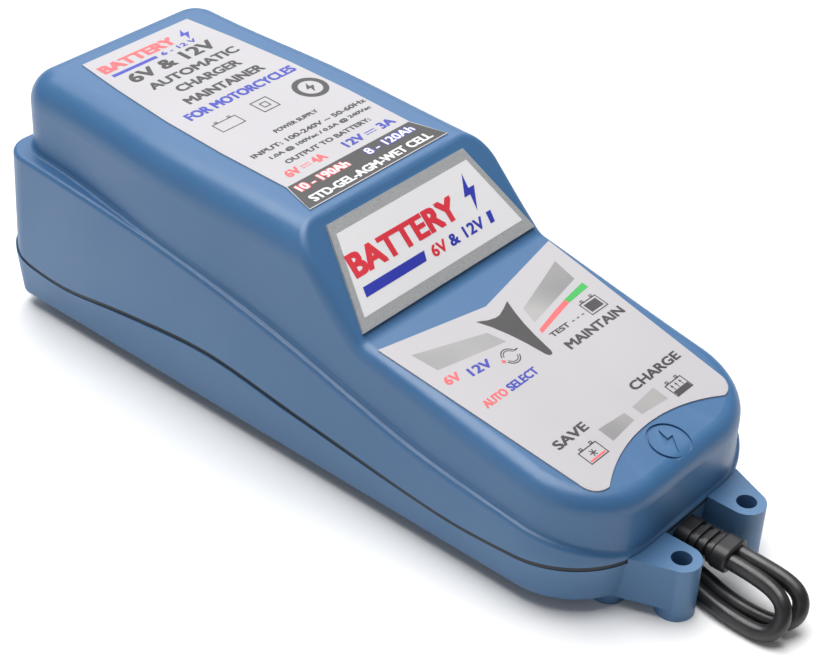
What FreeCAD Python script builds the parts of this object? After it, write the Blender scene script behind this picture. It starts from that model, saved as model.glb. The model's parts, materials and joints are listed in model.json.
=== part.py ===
"""Battery charger for motorcycles: a two-part moulded case with its circuit, mains cord and battery lead.

The frame: X is the width, -Y is the end where the cords leave, +Z is up, and the floor is Z = 0.
The origin is on the floor, under the middle of the case. All lengths are millimetres.
"""
import FreeCAD, Part
import math
import os
import Sketcher

V = FreeCAD.Vector
doc = FreeCAD.newDocument("charger")

# ---------------------------------------------------------------- driving dimensions
DIMENSIONS = {
    # case
    "case_front_y": -92.4, "case_back_y": 104.8, "case_half_width": 37.5, "case_taper": 1.4,
    "front_corner_radius": 22, "back_corner_radius": 5.5, "skirt_top_corner_radius": 8,
    "underside_z": 3.2, "wall": 2.4,
    "skirt_top_z": 55, "skirt_draft": 0.6, "base_edge_radius": 2.2,
    # upper body, inside the skirt
    "body_front_y": -91.8, "body_back_y": 102.6, "body_front_radius": 21.4, "body_back_radius": 10,
    "body_back_half": 33.0, "body_mid_half": 35.4, "body_fore_half": 35.4, "body_waist_half": 35.6,
    "body_front_half": 35.8, "body_draft": 0.6, "deck_radius": 8.5,
    # side profile of the upper body
    "deck_front_y": 2.2, "deck_front_z": 67.16, "deck_slope": 0.0364,
    "slope_foot_y": -20.4, "slope_foot_z": 45.4, "panel_slope": 0.193,
    "deck_edge_radius": 4, "crease_radius": 2.5, "panel_edge_radius": 3.5, "front_edge_radius": 5,
    "shoulder_radius": 1.2, "ledge_radius": 1.0,
    # seam between the halves
    "gasket_thickness": 1.4, "gasket_recess": 0.5, "gasket_width": 1.8,
    # mounting ears
    "ear_y": -100, "ear_spacing": 26.88, "ear_radius": 4.8, "ear_hole_radius": 2.49, "ear_top_z": 15.3,
    "ear_root_half": 24,
    # feet, bosses, screws
    "foot_radius": 4.4, "front_foot_x": 19.5, "front_foot_y": -85.5, "rear_foot_x": 25, "rear_foot_y": 90,
    "boss_x": 30.2, "boss_step": 0.9, "boss_radius": 3.3, "screw_radius": 1.5, "screw_clearance": 1.7,
    "screw_head_radius": 2.8, "screw_head_height": 2, "lower_boss_top_z": 11.3, "boss_seat_z": 6.2,
    "upper_boss_top_z": 31, "screw_tip_z": 24,
    # underside channel for the two cords
    "channel_width": 13.2, "channel_roof_z": 4.8, "hump_wall": 1.6,
    # cord grip
    "grip_z": 10.65, "grip_tip_y": -106.4, "grip_barrel_width": 9.4, "grip_barrel_height": 5.6,
    "grip_collar_width": 10.4, "grip_collar_height": 6.4, "grip_collar_length": 4.4,
    "grip_neck_width": 8, "grip_neck_height": 4.6, "grip_flange_width": 12, "grip_flange_height": 5.6,
    # labels on the case
    "label_thickness": 0.3, "badge_thickness": 0.7, "overlay_thickness": 0.35,
    # round sunk emblem on the panel
    "emblem_y": -84.8, "emblem_radius": 5.6, "emblem_groove": 0.7, "emblem_depth": 0.5,
    # circuit
    "board_half_width": 26, "board_back_y": 92, "board_front_y": -76, "board_z": 9.6, "board_thickness": 1.6,
    "post_x": 22, "post_front_y": -70, "post_back_y": 86, "post_radius": 3, "board_screw_radius": 1.0,
    "display_half_width": 26, "display_back_y": -27, "display_front_y": -79, "display_thickness": 1.6,
    "display_drop": 8.5, "led_size": 3, "led_height": 1.4,
    "wire_radius": 1.1,
    # insulating sheet under the board
    "sheet_half_width": 25.5, "sheet_back_y": 94, "sheet_front_y": -78,
    "sheet_thickness": 0.4, "sheet_z": 7.4,
    # cords and what is on them
    "cord_radius": 2, "hank_front_y": 60, "hank_back_y": 140, "hank_height": 12,
    "mains_hank_left": 41, "mains_hank_right": 77, "lead_hank_left": 78.6, "lead_hank_right": 106.6,
    "hank_end_radius": 14, "tie_thickness": 0.8, "tie_width": 8,
}

sheet = doc.addObject("Spreadsheet::Sheet", "dims")
for row, (alias, value) in enumerate(DIMENSIONS.items(), 1):
    sheet.set(f"A{row}", alias)
    sheet.set(f"B{row}", str(value))
    sheet.setAlias(f"B{row}", alias)
doc.recompute()


def dim(alias):
    """The value of a named cell of the sheet."""
    return float(sheet.get(alias))


SUBPARTS = []


def keep(feature, label):
    """Names a finished sub-part; its label is its file's name."""
    feature.Label = label
    SUBPARTS.append(feature)
    return feature


def shaped(label, shape, base=None):
    """A sub-part whose shape comes from Part's own functions; base becomes its placement."""
    feature = doc.addObject("Part::Feature", label)
    feature.Shape = shape
    feature.Placement = FreeCAD.Placement(base or V(), FreeCAD.Rotation())
    return keep(feature, label)


# ---------------------------------------------------------------- small shape functions
def arc(start, through, end):
    return Part.Arc(start, through, end).toShape()


def line(start, end):
    return Part.LineSegment(start, end).toShape()


def closed(edges):
    return Part.Wire(Part.__sortEdges__(edges))


def corner(centre_x, centre_y, radius, side, end, z):
    """A quarter arc of a plan outline; side is +1 right or -1 left, end is +1 back or -1 front."""
    k = radius * math.sqrt(0.5)
    flat = V(centre_x, centre_y + end * radius, z)
    upright = V(centre_x + side * radius, centre_y, z)
    return arc(flat, V(centre_x + side * k, centre_y + end * k, z), upright)


def outline(half, front, back, front_radius, back_radius, z):
    """Plan outline of the case: straight sides and four round corners."""
    edges = []
    for side in (-1, 1):
        edges.append(corner(side * (half - back_radius), back - back_radius, back_radius, side, 1, z))
        edges.append(corner(side * (half - front_radius), front + front_radius, front_radius, side, -1, z))
        edges.append(line(V(side * half, back - back_radius, z), V(side * half, front + front_radius, z)))
    edges.append(line(V(back_radius - half, back, z), V(half - back_radius, back, z)))
    edges.append(line(V(front_radius - half, front, z), V(half - front_radius, front, z)))
    return closed(edges)


def waisted_outline(inset, z):
    """Plan outline of the upper body, whose sides swell to a waist above the slope."""
    front = dim("body_front_y") + inset
    back = dim("body_back_y") - inset
    front_radius = dim("body_front_radius") - inset
    back_radius = dim("body_back_radius") - inset
    side_points = [
        (dim("body_back_half"), dim("body_back_y") - dim("body_back_radius")),
        (dim("body_mid_half"), 50),
        (dim("body_fore_half"), 14),
        (dim("body_waist_half"), -10),
        (dim("body_waist_half"), -40),
        (dim("body_front_half"), dim("body_front_y") + dim("body_front_radius")),
    ]
    back_half = dim("body_back_half") - inset
    front_half = dim("body_front_half") - inset
    edges = []
    for side in (-1, 1):
        flank = Part.BSplineCurve()
        flank.interpolate(
            Points=[V(side * (x - inset), y, z) for x, y in side_points],
            InitialTangent=V(0, -1, 0),
            FinalTangent=V(0, -1, 0),
        )
        edges.append(flank.toShape())
        edges.append(corner(side * (back_half - back_radius), back - back_radius, back_radius, side, 1, z))
        front_centre = front + front_radius
        edges.append(corner(side * (front_half - front_radius), front_centre, front_radius, side, -1, z))
    edges.append(line(V(back_radius - back_half, back, z), V(back_half - back_radius, back, z)))
    edges.append(line(V(front_radius - front_half, front, z), V(front_half - front_radius, front, z)))
    return closed(edges)


def loft(*wires):
    return Part.makeLoft(list(wires), True, True)


FAR = 60  # beyond the case on either side
DEEP = -5  # below the floor


def below(edges):
    """The space under a side profile, whose edges lie in the plane X = -FAR from back to front."""
    ends = sorted((v.Point for e in edges for v in e.Vertexes), key=lambda p: p.y)
    front, back = ends[0], ends[-1]
    low_front, low_back = V(-FAR, front.y, DEEP), V(-FAR, back.y, DEEP)
    rim = edges + [line(front, low_front), line(low_front, low_back), line(low_back, back)]
    return Part.Face(closed(rim)).extrude(V(2 * FAR, 0, 0))


def smooth_profile(points):
    """One smooth edge through points (y, z)."""
    curve = Part.BSplineCurve()
    curve.interpolate([V(-FAR, y, z) for y, z in points])
    return [curve.toShape()]


def rounded_profile(points, radii):
    """Straight edges through points (y, z) with an arc of the given radius at each inner one."""
    corners = [V(-FAR, y, z) for y, z in points]
    edges, start = [], corners[0]
    for before, here, after, radius in zip(corners, corners[1:], corners[2:], radii):
        back, ahead = (before - here).normalize(), (after - here).normalize()
        half_turn = (math.pi - back.getAngle(ahead)) / 2
        reach = radius * math.tan(half_turn)
        bisector = (back + ahead).normalize()
        top = here + bisector * (radius / math.cos(half_turn) - radius)
        edges.append(line(start, here + back * reach))
        edges.append(arc(here + back * reach, top, here + ahead * reach))
        start = here + ahead * reach
    return edges + [line(start, corners[-1])]


def deck_z(y):
    return dim("deck_front_z") + (y - dim("deck_front_y")) * dim("deck_slope")


def panel_z(y):
    return dim("slope_foot_z") + (y - dim("slope_foot_y")) * dim("panel_slope")


SLOPE_RUN = V(0, dim("deck_front_y") - dim("slope_foot_y"), dim("deck_front_z") - dim("slope_foot_z"))
SLOPE_ALONG = V(SLOPE_RUN).normalize()
SLOPE_UP = V(0, -SLOPE_ALONG.z, SLOPE_ALONG.y)
PANEL_ALONG = V(0, 1, dim("panel_slope")).normalize()
PANEL_UP = V(0, -PANEL_ALONG.z, PANEL_ALONG.y)
DECK_ALONG = V(0, 1, dim("deck_slope")).normalize()
DECK_UP = V(0, -DECK_ALONG.z, DECK_ALONG.y)


def rod(radius, base, direction, length):
    return Part.makeCylinder(radius, length, base, direction)


def block(low, high):
    size = high - low
    return Part.makeBox(size.x, size.y, size.z, low)


def prism(points, along, up, origin, thickness):
    """A plate on a sloping face: points (x, distance along the face), raised by thickness."""
    corners = [origin + V(x, 0, 0) + along * far for x, far in points]
    return Part.Face(Part.makePolygon(corners + corners[:1])).extrude(up * thickness)


def rounded(shape, radius, wanted):
    """The shape with its edges that wanted() picks rounded."""
    return shape.makeFillet(radius, [e for e in shape.Edges if wanted(e)])


def middle(edge):
    return edge.valueAt((edge.FirstParameter + edge.LastParameter) / 2)


# ---------------------------------------------------------------- upper and lower case
SEAM = [(112, 27), (104.8, 21.5), (102, 18.6), (99.4, 16.4), (94, 14.9), (82, 14.3),
        (66, 16.5), (50, 18.6), (27, 20.2), (5, 17.9), (-14, 15.8),
        (-37, 13.3), (-53, 12.3), (-68, 13.1), (-83, 14.3), (-98, 14.2)]
SHOULDER = [(110, 49.2), (66.8, 46.2), (27, 41.2), (-13, 32.6), (-36, 26.8), (-66, 22.8), (-84, 19.6),
            (-96, 13.0)]


def lowered(points, drop):
    return [(y, z - drop) for y, z in points]


def beneath_seam(offset):
    return below(smooth_profile(lowered(SEAM, -offset)))


def body_profile(drop):
    """Slope and panel of the upper body, lowered square to themselves by drop."""
    foot = V(0, dim("slope_foot_y"), dim("slope_foot_z"))
    half_turn = SLOPE_ALONG.getAngle(PANEL_ALONG) / 2
    inward = -(SLOPE_UP + PANEL_UP).normalize() * (drop / math.cos(half_turn))
    foot = foot + inward
    above = foot + SLOPE_ALONG * 60
    ahead = foot - PANEL_ALONG * 95
    back = V(0, 120, above.z + 10)
    points = [(back.y, back.z), (above.y, above.z), (foot.y, foot.z), (ahead.y, ahead.z)]
    return rounded_profile(points, [0.5, dim("deck_edge_radius")])


def deck_profile(drop):
    return [line(V(-FAR, 120, deck_z(120) - drop), V(-FAR, -120, deck_z(-120) - drop))]


def body_block(inset, drop, deck_radius):
    """The upper body: plan outline, round-edged deck, then the slope and panel cut across it."""
    whole = loft(waisted_outline(inset, 0), waisted_outline(inset + dim("body_draft"), 80))
    decked = whole.common(below(deck_profile(drop))).Solids[0]
    decked = rounded(decked, deck_radius, lambda e: e.BoundBox.ZMin > 55)
    return decked.common(below(body_profile(drop))).Solids[0]


def skirt_block(inset, drop):
    """The skirt round the upper body, up to its sloping shoulder."""
    half = dim("case_half_width") - inset
    front, back = dim("case_front_y") + inset, dim("case_back_y") - inset
    front_radius, back_radius = dim("front_corner_radius") - inset, dim("back_corner_radius") - inset
    draft = dim("skirt_draft")
    low = outline(half, front, back, front_radius, back_radius, 4)
    high = outline(half - draft, front + draft, back - draft, front_radius - draft,
                   dim("skirt_top_corner_radius") - inset, dim("skirt_top_z"))
    return loft(low, high).common(below(smooth_profile(lowered(SHOULDER, drop)))).Solids[0]


def rim_radius(edge):
    """The rounding of an edge where the deck, slope or panel meets the walls; 0 for any other edge."""
    box, mid = edge.BoundBox, middle(edge)
    if box.ZMin < 28 or box.YMin > 3 or box.ZMax > 68.5 or box.YMax - box.YMin > 90:
        return 0
    if abs(mid.y - dim("slope_foot_y")) < 2 and abs(mid.x) < 1:
        return 0
    if abs(mid.x) < 1 and mid.y > 0:
        return dim("deck_edge_radius")
    if mid.y > dim("slope_foot_y") + 1:
        return dim("crease_radius")
    if mid.y > dim("body_front_y") + dim("body_front_radius") - 0.5:
        return dim("panel_edge_radius")
    return dim("front_edge_radius")


def fillet_edges(name, shape, radius_of):
    """A Part::Fillet of the edges to which radius_of gives a radius."""
    base = doc.addObject("Part::Feature", name + "_sharp")
    base.Shape = shape
    fillet = doc.addObject("Part::Fillet", name + "_round")
    fillet.Base = base
    radii = [(number, radius_of(edge)) for number, edge in enumerate(shape.Edges, 1)]
    fillet.Edges = [(number, radius, radius) for number, radius in radii if radius]
    doc.recompute()
    if fillet.Shape.isNull() or not fillet.Shape.isValid():
        raise RuntimeError(name + " has an edge that can't be rounded")
    return fillet.Shape.Solids[0]


def on_shoulder(edge):
    """Whether an edge bounds the shoulder, which is the skirt's sloping top."""
    box = edge.BoundBox
    if box.ZMin < 10 or box.ZMax > 50 or box.DiagonalLength < 5:
        return False
    return Part.Vertex(middle(edge)).distToShape(shoulder_face)[0] < 0.01


def is_outer(edge):
    box = edge.BoundBox
    return max(-box.XMin, box.XMax) > dim("body_front_half") + 1.1 or box.YMax > 104 or box.YMin < -92.1


def ledge_radius(edge):
    """The rounding where the upper body rises from the shoulder."""
    return dim("ledge_radius") if on_shoulder(edge) and not is_outer(edge) else 0


def shoulder_radius(edge):
    """The rounding of the shoulder's outer edge."""
    return dim("shoulder_radius") if on_shoulder(edge) and is_outer(edge) else 0


shoulder_face = smooth_profile(SHOULDER)[0].extrude(V(2 * FAR, 0, 0))
def symmetrical(shape):
    """The shape rebuilt from its left half, so that both sides are the same."""
    half = shape.common(block(V(-FAR, -150, DEEP), V(0, 150, 100)))
    return half.fuse(half.mirror(V(), V(1, 0, 0))).removeSplitter().Solids[0]


body_outer = symmetrical(fillet_edges("body", body_block(0, 0, dim("deck_radius")), rim_radius))
stepped = body_outer.fuse(skirt_block(0, 0)).Solids[0]
case_outer = fillet_edges("shoulder", fillet_edges("ledge", stepped, ledge_radius), shoulder_radius)
wall = dim("wall")
cavity = body_block(wall, wall, dim("deck_radius") - wall).fuse(skirt_block(wall, wall))

BOSSES = [(side * dim("boss_x"), y) for y in (-60, 10, 84) for side in (-1, 1)]
UP = V(0, 0, 1)


def upper_bosses():
    """Screw bosses under the deck, each with a rib to the wall."""
    solids = []
    foot, top = 12.4, dim("upper_boss_top_z")
    for x, y in BOSSES:
        solids.append(rod(dim("boss_radius"), V(x, y, foot), UP, top - foot))
        rib = 5.6 if x > 0 else -5.6
        low = V(min(x, x + rib), y - 1, foot + 8)
        solids.append(block(low, low + V(abs(rib), 2, top - foot - 8)))
    return solids


def panel_point(x, y):
    return V(x, y, panel_z(y))


BIG_WINDOW = [(27.4, -29.8), (6.9, -35.9), (5.4, -40.7), (26.2, -36.9)]
SMALL_WINDOW = [(10.9, -72.2), (1.5, -72.9), (1.5, -75.8), (10.9, -76.7)]


def window(points, side, shrink, depth, height):
    """A window's prism through the panel, from depth below it to height above it."""
    centre_x = sum(x for x, _ in points) / len(points)
    centre_y = sum(y for _, y in points) / len(points)
    corners = []
    for x, y in points:
        step = V(centre_x - x, centre_y - y, 0).normalize() * shrink
        corners.append(panel_point(side * (x + step.x), y + step.y) - PANEL_UP * depth)
    return Part.Face(Part.makePolygon(corners + corners[:1])).extrude(PANEL_UP * (depth + height))


WINDOWS = {
    "voltage_window_left": (BIG_WINDOW, -1),
    "voltage_window_right": (BIG_WINDOW, 1),
    "charge_window_left": (SMALL_WINDOW, -1),
    "charge_window_right": (SMALL_WINDOW, 1),
}

DISPLAY_POSTS = [(side * 22, y) for y in (-66, -42) for side in (-1, 1)]


def display_posts():
    """Posts that hold the display board under the panel."""
    solids = []
    for x, y in DISPLAY_POSTS:
        top = panel_point(x, y) - PANEL_UP * (wall - 0.4)
        solids.append(rod(2.6, top, -PANEL_UP, dim("display_drop") - wall + 0.4))
    return solids


def emblem_cut():
    """A ring groove and a lightning bolt sunk a little into the panel."""
    centre = panel_point(0, dim("emblem_y")) - PANEL_UP * dim("emblem_depth")
    radius, groove = dim("emblem_radius"), dim("emblem_groove")
    ring = rod(radius, centre, PANEL_UP, 2).cut(rod(radius - groove, centre, PANEL_UP, 2))
    bolt = [(0.9, 3.9), (-2.3, -0.5), (-0.4, -0.5), (-1.1, -3.9), (2.3, 0.7), (0.4, 0.7)]
    return ring.fuse(prism(bolt, PANEL_ALONG, PANEL_UP, centre, 2))


def make_upper_case():
    shell = case_outer.cut(cavity)
    inside = [piece.common(cavity) for piece in upper_bosses() + display_posts()]
    shell = shell.fuse(inside)
    holes = [rod(dim("screw_radius"), V(x, y, 5), UP, dim("screw_tip_z") + 1 - 5) for x, y in BOSSES]
    holes += [window(points, side, 0, wall + 2, 3) for points, side in WINDOWS.values()]
    for x, y in DISPLAY_POSTS:
        tip = panel_point(x, y) - PANEL_UP * dim("display_drop")
        holes.append(rod(0.9, tip, PANEL_UP, 5))
    shell = shell.cut(holes + [emblem_cut()])
    return shell.cut(beneath_seam(dim("gasket_thickness") / 2)).Solids[0]


def ear(side):
    """A mounting ear: a round leg that stands on the floor, and a web to the case."""
    x = side * dim("ear_spacing") / 2
    radius, y, under = dim("ear_radius"), dim("ear_y"), dim("underside_z")
    leg = rod(radius, V(x, y, 0), UP, dim("ear_top_z"))
    inner, outer = side * (dim("ear_spacing") / 2 - radius), side * dim("ear_root_half")
    root = dim("case_front_y") + 6
    tangent = V(x + side * radius * 0.96, y - radius * 0.28, under)
    plan = [V(inner, y, under), V(inner, root, under), V(outer, root, under), tangent, V(x, y, under)]
    web = Part.Face(Part.makePolygon(plan + plan[:1])).extrude(UP * (dim("ear_top_z") - under))
    return leg.fuse(web)


CHANNEL = [(-3.1, -112), (-1.7, -81), (20.3, -42.5), (47, -4)]


def strip(points, width, low, high):
    """A level band of the given width along a route, rounded at its corners."""
    solids = [rod(width / 2, V(x, y, low), UP, high - low) for x, y in points]
    for (x0, y0), (x1, y1) in zip(points, points[1:]):
        run = V(x1 - x0, y1 - y0, 0)
        plank = Part.makeBox(run.Length, width, high - low, V(0, -width / 2, low))
        plank.Placement = FreeCAD.Placement(V(x0, y0, 0), FreeCAD.Rotation(V(1, 0, 0), run))
        solids.append(plank)
    return solids[0].fuse(solids[1:])


def channel_space(clear, low, high):
    """The cords' way under the case; clear widens it."""
    return strip(CHANNEL, dim("channel_width") + 2 * clear, low, high)


def make_lower_case():
    under, taper = dim("underside_z"), dim("case_taper")
    half, front, back = dim("case_half_width"), dim("case_front_y"), dim("case_back_y")
    front_radius, back_radius = dim("front_corner_radius"), dim("back_corner_radius")

    def level(inset, z):
        radii = front_radius - inset, back_radius - inset
        return outline(half - inset, front + inset, back - inset, *radii, z)

    solid = loft(level(taper, under), level(0, 17), level(0, 26))
    solid = rounded(solid, dim("base_edge_radius"), lambda e: e.BoundBox.ZMax < under + 0.1)
    inside = loft(level(taper + wall, under + wall), level(wall, 17), level(wall, 26))
    hump = channel_space(dim("hump_wall"), under, dim("channel_roof_z") + dim("hump_wall"))
    shell = solid.cut(inside).fuse(hump.common(solid))
    feet = [(side * dim("front_foot_x"), dim("front_foot_y")) for side in (-1, 1)]
    feet += [(side * dim("rear_foot_x"), dim("rear_foot_y")) for side in (-1, 1)]
    extras = [rod(dim("foot_radius"), V(x, y, 0), UP, under + wall) for x, y in feet]
    seat = dim("lower_boss_top_z") - under
    for x, y in BOSSES:
        boss = rod(dim("boss_radius") + dim("boss_step"), V(x, y, under), UP, seat)
        if x > 0:
            boss.rotate(V(x, y, 0), UP, 180)  # its seam line faces inwards, clear of the wall
        extras.append(boss.common(solid))
    extras += [rod(dim("post_radius"), V(x, y, under), UP, dim("board_z") - under) for x, y in POSTS]
    shell = shell.fuse(extras).common(beneath_seam(-dim("gasket_thickness") / 2))
    shell = shell.cut(channel_space(0, -1, dim("channel_roof_z")))
    above_seam = case_outer.cut(beneath_seam(-dim("gasket_thickness") / 2))
    shell = shell.fuse([ear(side).cut([inside, above_seam]) for side in (-1, 1)])
    holes = [grip_space()]
    for x, y in BOSSES:
        holes.append(rod(dim("screw_clearance"), V(x, y, 0), UP, 20))
        holes.append(rod(dim("screw_head_radius") + 0.2, V(x, y, 0), UP, dim("boss_seat_z")))
    holes += [rod(dim("board_screw_radius"), V(x, y, under + 1.2), UP, 10) for x, y in POSTS]
    for side in (-1, 1):
        holes.append(rod(dim("ear_hole_radius"), V(side * dim("ear_spacing") / 2, dim("ear_y"), -1), UP, 20))
    return shell.cut(holes).Solids[0]


POSTS = [(side * dim("post_x"), dim(y)) for y in ("post_front_y", "post_back_y") for side in (-1, 1)]


def stadium(width, height, front, length):
    """A flat-sided round bar along Y, centred on the cord grip's line."""
    radius, z = height / 2, dim("grip_z")
    side = width / 2 - radius
    edges = []
    for end in (-1, 1):
        top, low = V(end * side, front, z + radius), V(end * side, front, z - radius)
        edges.append(arc(top, V(end * (side + radius), front, z), low))
    edges.append(line(V(-side, front, z + radius), V(side, front, z + radius)))
    edges.append(line(V(-side, front, z - radius), V(side, front, z - radius)))
    return Part.Face(closed(edges)).extrude(V(0, length, 0))


def grip_space():
    """The hole in the front wall that the cord grip's neck fills."""
    return stadium(dim("grip_neck_width"), dim("grip_neck_height"), -96, 10)


def make_gasket():
    inset, width = dim("gasket_recess"), dim("gasket_width")
    half, front, back = dim("case_half_width"), dim("case_front_y"), dim("case_back_y")

    def ring(step):
        return outline(half - step, front + step, back - step, dim("front_corner_radius") - step,
                       dim("back_corner_radius") - step, 8)

    tall = V(0, 0, 20)
    band = Part.Face(ring(inset)).extrude(tall).cut(Part.Face(ring(inset + width)).extrude(tall))
    half_thick = dim("gasket_thickness") / 2
    return band.common(beneath_seam(half_thick)).cut(beneath_seam(-half_thick)).Solids[0]


upper_case = shaped("upper_case", make_upper_case()).Shape
lower_case = shaped("lower_case", make_lower_case()).Shape
shaped("seam_gasket", make_gasket())


# ---------------------------------------------------------------- labels, which follow the case's surface
def skin(points, surface, up, thickness):
    """A film on the case: its outline's points are (x, y), and surface(y) is their height."""
    corners = [V(x, y, surface(y)) for x, y in points]
    region = Part.Face(Part.makePolygon(corners + corners[:1]))
    return film(region, up, thickness)


def film(region, up, thickness):
    """The layer of the given thickness that covers the case within a flat region."""
    depth = 4
    base = region.translated(-up * depth)
    raised = case_outer.translated(up * thickness)
    return base.extrude(up * (depth + 2)).common(raised).cut(case_outer).Solids[0]


def slope_z(y):
    return dim("deck_front_z") + (y - dim("deck_front_y")) * SLOPE_ALONG.z / SLOPE_ALONG.y


DECK_LABEL = [(-18.6, 91.3), (-20.5, 76), (-22.2, 56), (-22.7, 36), (-22.3, 14.9), (-25.2, 4.6),
              (25.2, 4.6), (22.3, 14.9), (22.7, 36), (22.2, 56), (20.5, 76), (18.6, 91.3)]
BADGE = [(-24.9, -0.1), (-32.2, -18.9), (32.2, -18.9), (24.9, -0.1)]
shaped("rating_label", skin(DECK_LABEL, deck_z, DECK_UP, dim("label_thickness")))
shaped("badge_label", skin(BADGE, slope_z, SLOPE_UP, dim("badge_thickness")))


def make_overlay():
    """The printed film on the panel: a notched back edge, and an arched front edge round the emblem."""
    def at(x, y):
        return V(x, y, panel_z(y))

    edges = [line(at(-32.3, -23.9), at(0, -29.8)), line(at(0, -29.8), at(32.3, -23.9))]
    for side in (-1, 1):
        edges.append(line(at(side * 32.3, -23.9), at(side * 28.0, -79.6)))
        edges.append(arc(at(side * 28.0, -79.6), at(side * 26.6, -83.2), at(side * 23, -84.6)))
    edges.append(arc(at(-23, -84.6), at(0, -78.4), at(23, -84.6)))
    whole = film(Part.Face(closed(edges)), PANEL_UP, dim("overlay_thickness"))
    return whole.cut([window(points, side, 0, 3, 3) for points, side in WINDOWS.values()])


shaped("control_overlay", make_overlay())


# ---------------------------------------------------------------- what lies behind the panel
def make_window(points, side):
    """A clear lens that fills its hole, flush with the overlay's face, with a flange inside."""
    lens = window(points, side, 0, wall, dim("overlay_thickness"))
    flange = window(points, side, -1.0, wall + 0.9, -wall)
    return lens.fuse(flange)


for name, (points, side) in WINDOWS.items():
    shaped(name, make_window(points, side))

DROP = dim("display_drop")


def make_display_board():
    half, top = dim("display_half_width"), DROP
    back, front = dim("display_back_y"), dim("display_front_y")
    corners = [panel_point(x, y) - PANEL_UP * top for x, y in
               ((-half, front), (half, front), (half, back), (-half, back))]
    plate = Part.Face(Part.makePolygon(corners + corners[:1])).extrude(-PANEL_UP * dim("display_thickness"))
    holes = []
    for x, y in DISPLAY_POSTS:
        holes.append(rod(dim("board_screw_radius"), panel_point(x, y) - PANEL_UP * (top - 1), -PANEL_UP, 5))
    return plate.cut(holes).Solids[0]


def turned(shape, base, up):
    """A shape made upright at the origin, stood on base along up."""
    shape.Placement = FreeCAD.Placement(base, FreeCAD.Rotation(V(0, 0, 1), up))
    return shape


LED_SPOTS = [(-20, -34.5), (-13, -36.2), (13, -36.2), (17, -35.2), (21, -34.2),
             (-6, -74.4), (6, -74.4), (0, -56)]


def make_leds():
    """Surface-mounted lamps on the display board."""
    size, height = dim("led_size"), dim("led_height")
    lamps = []
    for x, y in LED_SPOTS:
        body = Part.makeBox(size, size * 0.8, height, V(-size / 2, -size * 0.4, 0))
        dome = Part.makeCylinder(size * 0.32, 0.3, V(0, 0, height))
        lamps.append(turned(body.fuse(dome), panel_point(x, y) - PANEL_UP * DROP, PANEL_UP))
    return Part.makeCompound(lamps)


def make_light_guides():
    """Clear blocks that carry the lamps' light up to the windows."""
    blocks = []
    for points, side in WINDOWS.values():
        blocks.append(window(points, side, 0.8, DROP - dim("led_height") - 0.4, -(wall + 0.9)))
    return Part.makeCompound(blocks)


def make_display_screws():
    screws = []
    for x, y in DISPLAY_POSTS:
        under = panel_point(x, y) - PANEL_UP * (DROP + dim("display_thickness"))
        shank = Part.makeCylinder(0.85, dim("display_thickness") + 3.4, V(0, 0, 0))
        head = Part.makeCylinder(1.9, 1.3, V(0, 0, -1.3))
        slot = Part.makeBox(2.6, 0.5, 0.6, V(-1.3, -0.25, -1.4))
        screws.append(turned(shank.fuse(head).cut(slot), under, PANEL_UP))
    return Part.makeCompound(screws)


shaped("display_board", make_display_board())
shaped("status_leds", make_leds())
shaped("light_guides", make_light_guides())
shaped("display_screws", make_display_screws())

# ---------------------------------------------------------------- main board and its parts
BOARD_TOP = dim("board_z") + dim("board_thickness")


def sketched_plate(label, half_width, front, back, thickness, z, holes, hole_radius):
    """A pierced rectangular plate: a sketch of its outline and holes, padded; sizes follow the sheet."""
    body = doc.addObject("PartDesign::Body", label)
    sketch = body.newObject("Sketcher::SketchObject", label + "_outline")
    plane = [f for f in body.Origin.OriginFeatures if f.Role == "XY_Plane"][0]
    sketch.AttachmentSupport = [(plane, "")]
    sketch.MapMode = "FlatFace"
    low_x, low_y, high_x, high_y = -dim(half_width), dim(front), dim(half_width), dim(back)
    ring = [V(low_x, low_y), V(high_x, low_y), V(high_x, high_y), V(low_x, high_y)]
    for start, end in zip(ring, ring[1:] + ring[:1]):
        sketch.addGeometry(Part.LineSegment(start, end), False)
    for side in range(4):
        sketch.addConstraint(Sketcher.Constraint("Coincident", side, 2, (side + 1) % 4, 1))
    for side, kind in enumerate(("Horizontal", "Vertical", "Horizontal", "Vertical")):
        sketch.addConstraint(Sketcher.Constraint(kind, side))
    width = sketch.addConstraint(Sketcher.Constraint("DistanceX", 0, 1, 0, 2, high_x - low_x))
    length = sketch.addConstraint(Sketcher.Constraint("DistanceY", 1, 1, 1, 2, high_y - low_y))
    left = sketch.addConstraint(Sketcher.Constraint("DistanceX", 0, 1, -1, 1, -low_x))
    fore = sketch.addConstraint(Sketcher.Constraint("DistanceY", 0, 1, -1, 1, -low_y))
    sketch.setExpression(f"Constraints[{width}]", f"2 * dims.{half_width}")
    sketch.setExpression(f"Constraints[{length}]", f"dims.{back} - dims.{front}")
    sketch.setExpression(f"Constraints[{left}]", f"dims.{half_width}")
    sketch.setExpression(f"Constraints[{fore}]", f"-dims.{front}")
    for x, y in holes:
        sketch.addGeometry(Part.Circle(V(x, y), V(0, 0, 1), hole_radius), False)
    pad = body.newObject("PartDesign::Pad", label + "_pad")
    pad.Profile = sketch
    pad.setExpression("Length", f"dims.{thickness}")
    body.Placement = FreeCAD.Placement(V(0, 0, z), FreeCAD.Rotation())
    return keep(body, label)


sketched_plate("main_board", "board_half_width", "board_front_y", "board_back_y", "board_thickness",
               dim("board_z"), POSTS, 1.3)
sketched_plate("insulating_sheet", "sheet_half_width", "sheet_front_y", "sheet_back_y", "sheet_thickness",
               dim("sheet_z"), POSTS, dim("post_radius") + 0.2)


def cuboid(name, x, y, z, width, length, height):
    """A Part::Box centred on (x, y) and standing on z."""
    box = doc.addObject("Part::Box", name)
    box.Width, box.Length, box.Height = length, width, height
    box.Placement = FreeCAD.Placement(V(x - width / 2, y - length / 2, z), FreeCAD.Rotation())
    return box


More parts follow.
